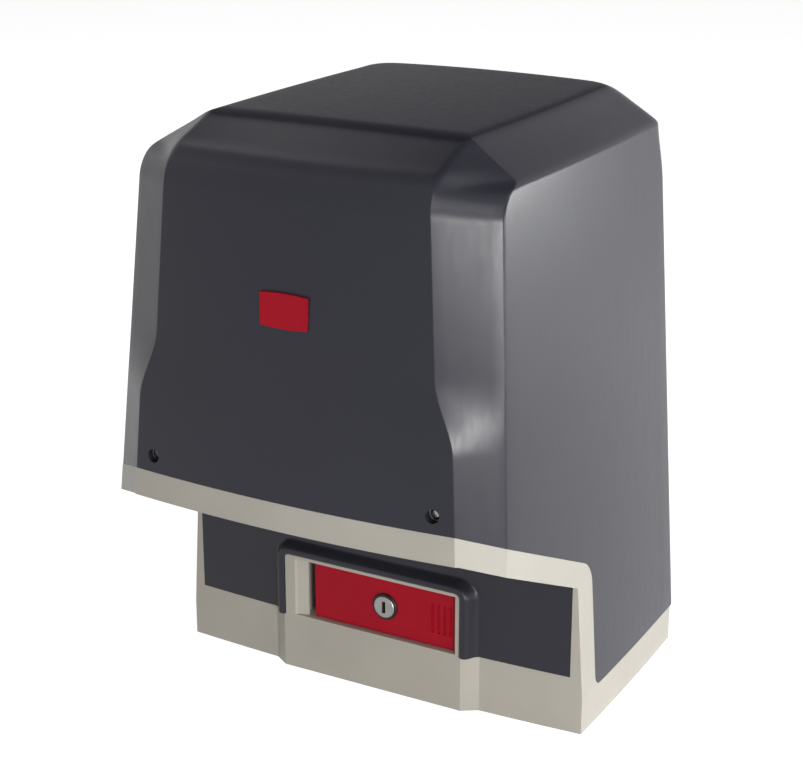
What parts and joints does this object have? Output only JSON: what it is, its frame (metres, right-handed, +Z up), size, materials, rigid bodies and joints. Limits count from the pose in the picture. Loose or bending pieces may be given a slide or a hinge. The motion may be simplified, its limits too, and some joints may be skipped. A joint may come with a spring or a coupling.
{
  "type": "sliding gate motor",
  "caption": "Sliding gate motor with lift-off cover, keyed release door, worm gearmotor with clutch, rear rack pinion and limit lever.",
  "frame": {"origin": "middle of the base's underside, at the centre of the four ground slots", "axes": "+Z up, -Y towards the front with the release door, +X to the right seen from the front"},
  "size_m": [0.2548, 0.2808, 0.333],
  "materials": {
    "cover_shell": "satin moulded plastic, blue-grey",
    "base_shell": "fine-grained moulded plastic, warm pale grey",
    "insert_shell": "satin moulded plastic, dark blue-grey",
    "red_plastic": "satin moulded plastic, deep red",
    "plated_steel": "zinc plated",
    "lock_metal": "turned, nickel plated",
    "gear_steel": "cut and oiled",
    "cast_alloy": "die cast, bead blasted",
    "bronze": "machined bronze",
    "motor_paint": "satin black paint",
    "laminations": "stacked sheet",
    "seal_rubber": "moulded rubber",
    "tape": "wound tape, yellow",
    "black_plastic": "moulded plastic, black",
    "circuit_board": "solder mask, green",
    "terminal_plastic": "moulded plastic, green",
    "blue_plastic": "moulded plastic, blue",
    "capacitor_can": "sleeved can",
    "glass": "clear glass tube",
    "white_plastic": "moulded plastic, white"
  },
  "bodies": {
    "housing": {"base_housing": "base_shell", "front_insert": "insert_shell", "cable_grommet": "seal_rubber", "hinge_pin": "plated_steel", "gearbox_casing": "cast_alloy", "gearbox_lid": "cast_alloy", "lid_screws": "plated_steel", "gearbox_bolts": "plated_steel", "output_bearings": "gear_steel", "worm_bearings": "gear_steel", "shaft_seal": "seal_rubber", "motor_can": "motor_paint", "stator": "laminations", "motor_end_bell": "cast_alloy", "encoder_cap": "black_plastic", "motor_screws": "plated_steel", "transformer_shelf": "plated_steel", "transformer_core": "tape", "transformer_clamp": "plated_steel", "board_carrier": "black_plastic", "control_board": "circuit_board", "board_screws": "plated_steel", "terminal_blocks": "terminal_plastic", "relays": "blue_plastic", "capacitors": "capacitor_can", "fuse_holder": "glass", "controller_chip": "black_plastic", "display": "white_plastic", "button_bodies": "black_plastic", "rear_plate": "cast_alloy", "plate_screws": "plated_steel", "limit_switch": "black_plastic"},
    "cover_assembly": {"cover": "cover_shell", "badge": "red_plastic", "cover_screws": "plated_steel", "cover_nuts": "plated_steel"},
    "door": {"release_door": "red_plastic", "lock_barrel": "lock_metal"},
    "lock_core": {"lock_plug": "lock_metal", "lock_cam": "plated_steel"},
    "release_linkage": {"release_rod": "plated_steel", "shift_fork": "cast_alloy"},
    "dog": {"clutch_dog": "gear_steel"},
    "wheel": {"worm_wheel": "bronze"},
    "motor_rotor": {"worm_shaft": "gear_steel", "rotor_core": "laminations", "encoder_disc": "black_plastic"},
    "drive_shaft": {"output_shaft": "gear_steel", "drive_pinion": "gear_steel", "pinion_key": "gear_steel", "pinion_bolt": "plated_steel"},
    "limit_finger": {"limit_lever": "black_plastic", "limit_spring": "plated_steel"},
    "button_1": {"push_button_1": "white_plastic"},
    "button_2": {"push_button_2": "white_plastic"},
    "button_3": {"push_button_3": "white_plastic"}
  },
  "joints": [
    {"name": "cover_lift", "type": "slide", "parent": "housing", "child": "cover_assembly", "axis": [0, 0, 1], "range_m": [0, 0.26]},
    {"name": "door_hinge", "type": "hinge", "parent": "housing", "child": "door", "pos_m": [-0.036, -0.0695, 0.0515], "axis": [0, 0, -1], "range_deg": [0, 90]},
    {"name": "lock_turn", "type": "hinge", "parent": "door", "child": "lock_core", "pos_m": [0.0082, -0.07, 0.0515], "axis": [0, -1, 0], "range_deg": [0, 90]},
    {"name": "release_slide", "type": "slide", "parent": "housing", "child": "release_linkage", "axis": [0, -1, 0], "range_m": [0, 0.01132]},
    {"name": "dog_slide", "type": "slide", "parent": "drive_shaft", "child": "dog", "axis": [0, -1, 0], "range_m": [0, 0.01132]},
    {"name": "motor_spin", "type": "hinge", "parent": "housing", "child": "motor_rotor", "pos_m": [0.04, 0.015, 0.15], "axis": [0, 0, 1], "continuous": true},
    {"name": "wheel_spin", "type": "hinge", "parent": "housing", "child": "wheel", "pos_m": [0, 0.015, 0.088], "axis": [0, 1, 0], "continuous": true},
    {"name": "pinion_spin", "type": "hinge", "parent": "housing", "child": "drive_shaft", "pos_m": [0, 0.015, 0.088], "axis": [0, 1, 0], "continuous": true},
    {"name": "limit_swing", "type": "hinge", "parent": "housing", "child": "limit_finger", "pos_m": [0, 0.075, 0.158], "axis": [0, 1, 0], "range_deg": [-35, 35], "stiffness_Nm_per_rad": 0.05},
    {"name": "button_1_press", "type": "slide", "parent": "housing", "child": "button_1", "axis": [0, 1, 0], "range_m": [0, 0.0015], "stiffness_N_per_m": 300},
    {"name": "button_2_press", "type": "slide", "parent": "housing", "child": "button_2", "axis": [0, 1, 0], "range_m": [0, 0.0015], "stiffness_N_per_m": 300},
    {"name": "button_3_press", "type": "slide", "parent": "housing", "child": "button_3", "axis": [0, 1, 0], "range_m": [0, 0.0015], "stiffness_N_per_m": 300}
  ],
  "couplings": [
    {"joint": "release_slide", "follows": "door_hinge", "m_per_rad": 0.0072025},
    {"joint": "dog_slide", "follows": "door_hinge", "m_per_rad": 0.0072025},
    {"joint": "wheel_spin", "follows": "motor_spin", "ratio": 0.033333},
    {"joint": "pinion_spin", "follows": "motor_spin", "ratio": 0.033333}
  ]
}
